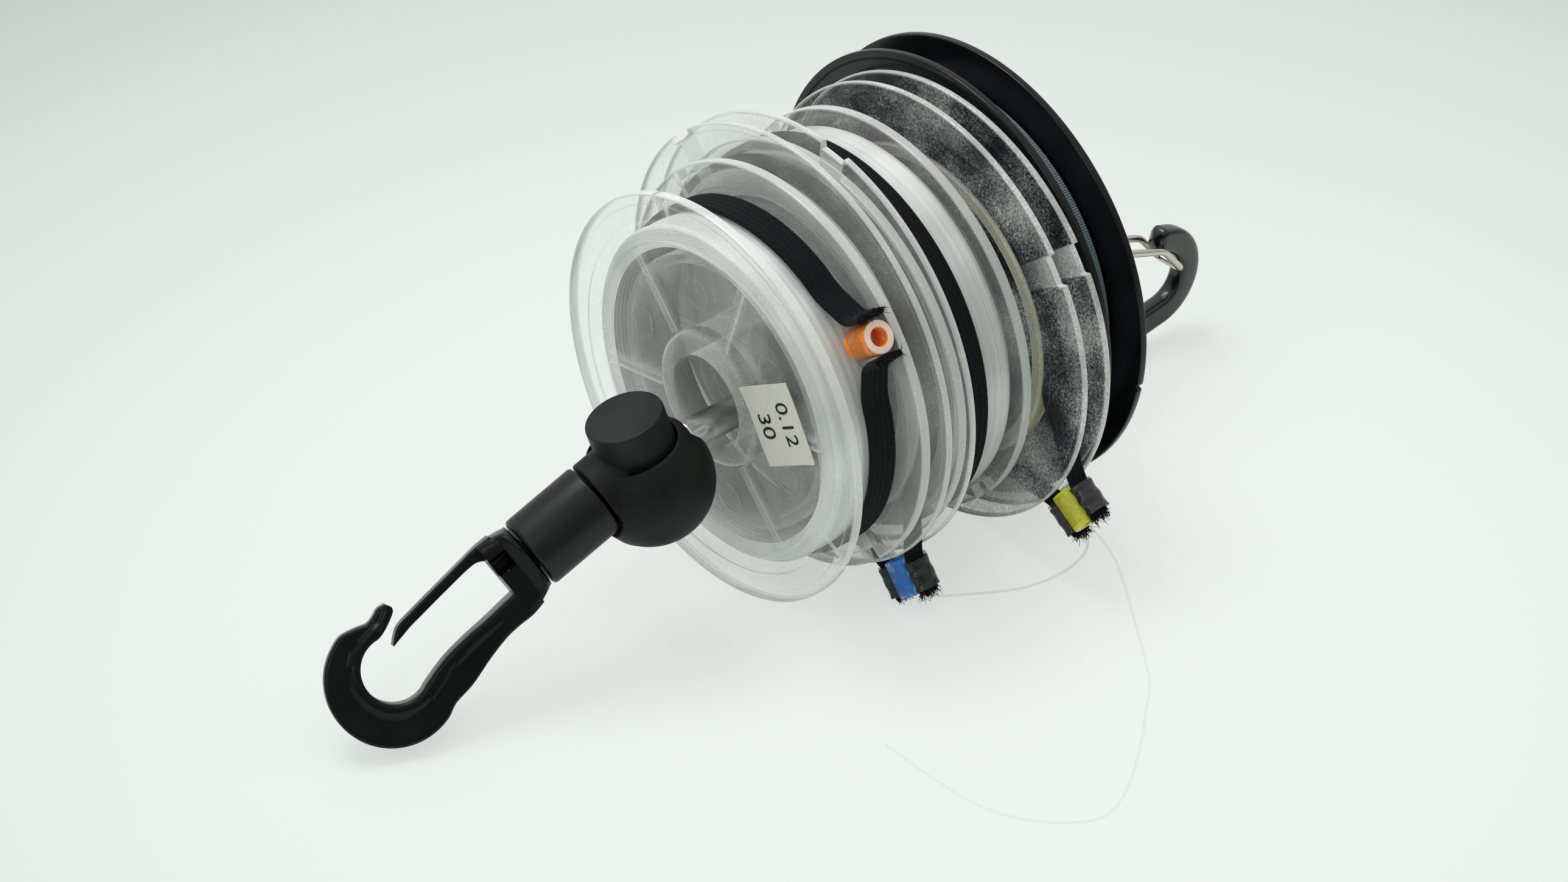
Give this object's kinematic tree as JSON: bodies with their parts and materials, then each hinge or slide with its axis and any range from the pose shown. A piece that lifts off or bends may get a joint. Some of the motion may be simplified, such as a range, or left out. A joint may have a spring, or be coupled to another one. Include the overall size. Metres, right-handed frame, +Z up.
{
  "type": "line spool holder",
  "caption": "Stack of clear and black line spools on a tube spindle, with a push-button cord lock and snap hook at one end and a wire-gate carabiner at the other.",
  "frame": {"origin": "middle of the footprint, on the surface that the stack lies on", "axes": "+X along the spindle from the snap hook towards the carabiner, +Z up from the surface"},
  "size_m": [0.1516, 0.1014, 0.0645],
  "materials": {
    "clear_plastic": "clear moulded polystyrene, scuffed",
    "black_plastic": "glossy moulded black",
    "line_white": "wound clear nylon line",
    "line_yellow": "wound pale yellow nylon line",
    "elastic_black": "ribbed woven elastic",
    "elastic_grey": "blue-grey textured elastic",
    "guide_orange": "soft tube",
    "guide_blue": "soft tube",
    "guide_green": "soft tube",
    "guide_yellow": "soft tube",
    "sleeve": "clear smoky shrink tube",
    "steel_tube": "polished",
    "cord": "braided elastic cord",
    "rubber": "matte",
    "lock_plastic": "soft matte black",
    "hook_plastic": "satin black",
    "spring_steel": "bare wire",
    "gunmetal": "gunmetal grey, satin",
    "nickel_wire": "nickel-plated wire",
    "paper": "printed paper"
  },
  "bodies": {
    "spindle": {"spindle_tube": "steel_tube", "spindle_cord": "cord", "rear_washer": "rubber", "cord_loop": "cord", "strand_b": "line_white", "strand_d": "line_white"},
    "spool_a": {"spool_a_front": "clear_plastic", "spool_a_rear": "clear_plastic", "spool_a_line": "line_white", "spool_a_label": "paper"},
    "band_a": {"band_a": "elastic_black", "guide_a": "guide_orange", "sleeve_a": "sleeve"},
    "spool_b": {"spool_b_front": "clear_plastic", "spool_b_rear": "clear_plastic", "spool_b_line": "line_white"},
    "band_b": {"band_b": "elastic_black", "guide_b": "guide_blue", "sleeve_b": "sleeve"},
    "spool_c": {"spool_c_front": "clear_plastic", "spool_c_rear": "clear_plastic", "spool_c_line": "line_white"},
    "band_c": {"band_c": "elastic_black", "guide_c": "guide_green", "sleeve_c": "sleeve"},
    "spool_d": {"spool_d_front": "clear_plastic", "spool_d_rear": "clear_plastic", "spool_d_line": "line_yellow"},
    "band_d": {"band_d": "elastic_black", "guide_d": "guide_yellow", "sleeve_d": "sleeve"},
    "spool_e": {"spool_e_front": "black_plastic", "spool_e_rear": "black_plastic", "spool_e_line": "line_white"},
    "band_e": {"band_e": "elastic_grey"},
    "cord_end": {"cord_end": "cord"},
    "lock": {"lock_body": "lock_plastic", "lock_spring": "spring_steel"},
    "lock_button": {"lock_button": "lock_plastic"},
    "barrel": {"swivel_barrel": "hook_plastic"},
    "hook": {"snap_hook": "hook_plastic"},
    "hook_gate": {"hook_gate": "hook_plastic"},
    "carabiner": {"carabiner_body": "gunmetal"},
    "carabiner_gate": {"carabiner_gate": "nickel_wire"}
  },
  "joints": [
    {"name": "spool_a_spin", "type": "hinge", "parent": "spindle", "child": "spool_a", "pos_m": [-0.00985, 0.00309, 0.029], "axis": [1, 0, 0], "continuous": true},
    {"name": "band_a_slip", "type": "hinge", "parent": "spool_a", "child": "band_a", "pos_m": [-0.00985, 0.00309, 0.029], "axis": [1, 0, 0], "continuous": true},
    {"name": "spool_b_spin", "type": "hinge", "parent": "spindle", "child": "spool_b", "pos_m": [-0.00045, 0.00289, 0.0315], "axis": [1, 0, 0], "continuous": true},
    {"name": "band_b_slip", "type": "hinge", "parent": "spool_b", "child": "band_b", "pos_m": [-0.00045, 0.00289, 0.0315], "axis": [1, 0, 0], "continuous": true},
    {"name": "spool_c_spin", "type": "hinge", "parent": "spindle", "child": "spool_c", "pos_m": [0.00895, 0.00399, 0.029], "axis": [1, 0, 0], "continuous": true},
    {"name": "band_c_slip", "type": "hinge", "parent": "spool_c", "child": "band_c", "pos_m": [0.00895, 0.00399, 0.029], "axis": [1, 0, 0], "continuous": true},
    {"name": "spool_d_spin", "type": "hinge", "parent": "spindle", "child": "spool_d", "pos_m": [0.01935, -0.00151, 0.0315], "axis": [1, 0, 0], "continuous": true},
    {"name": "band_d_slip", "type": "hinge", "parent": "spool_d", "child": "band_d", "pos_m": [0.01935, -0.00151, 0.0315], "axis": [1, 0, 0], "continuous": true},
    {"name": "spool_e_spin", "type": "hinge", "parent": "spindle", "child": "spool_e", "pos_m": [0.02645, 0.00089, 0.0322], "axis": [1, 0, 0], "continuous": true},
    {"name": "band_e_slip", "type": "hinge", "parent": "spool_e", "child": "band_e", "pos_m": [0.02645, 0.00089, 0.0322], "axis": [1, 0, 0], "continuous": true},
    {"name": "cord_flex", "type": "hinge", "parent": "spindle", "child": "cord_end", "pos_m": [-0.02925, 0.00109, 0.027], "axis": [0, -0.9571, -0.2896], "range_deg": [-25.9, 3]},
    {"name": "lock_slide", "type": "slide", "parent": "cord_end", "child": "lock", "axis": [-0.8997, 0.1264, -0.4179], "range_m": [0, 0.008]},
    {"name": "button_press", "type": "slide", "parent": "lock", "child": "lock_button", "axis": [0.2159, -0.1546, -0.9641], "range_m": [0, 0.0022], "stiffness_N_per_m": 900, "springref_m": -0.001, "deforming": ["lock_spring"]},
    {"name": "barrel_turn", "type": "hinge", "parent": "lock", "child": "barrel", "pos_m": [-0.04005, 0.00261, 0.02199], "axis": [-0.8997, 0.1264, -0.4179], "continuous": true},
    {"name": "hook_turn", "type": "hinge", "parent": "barrel", "child": "hook", "pos_m": [-0.04544, 0.00337, 0.01948], "axis": [-0.8997, 0.1264, -0.4179], "continuous": true},
    {"name": "hook_gate_open", "type": "hinge", "parent": "hook", "child": "hook_gate", "pos_m": [-0.04992, 0.00661, 0.02101], "axis": [-0.3602, -0.7559, 0.5468], "range_deg": [0, 12], "stiffness_Nm_per_rad": 0.02, "springref_deg": -5.73},
    {"name": "carabiner_swing", "type": "hinge", "parent": "spindle", "child": "carabiner", "pos_m": [0.03958, 0.00259, 0.02047], "axis": [0, 1, 0], "range_deg": [-14, 14]},
    {"name": "carabiner_gate_open", "type": "hinge", "parent": "carabiner", "child": "carabiner_gate", "pos_m": [0.05185, 0.00259, 0.0226], "axis": [0, 1, 0], "range_deg": [0, 15], "stiffness_Nm_per_rad": 0.03, "springref_deg": -8.59}
  ]
}
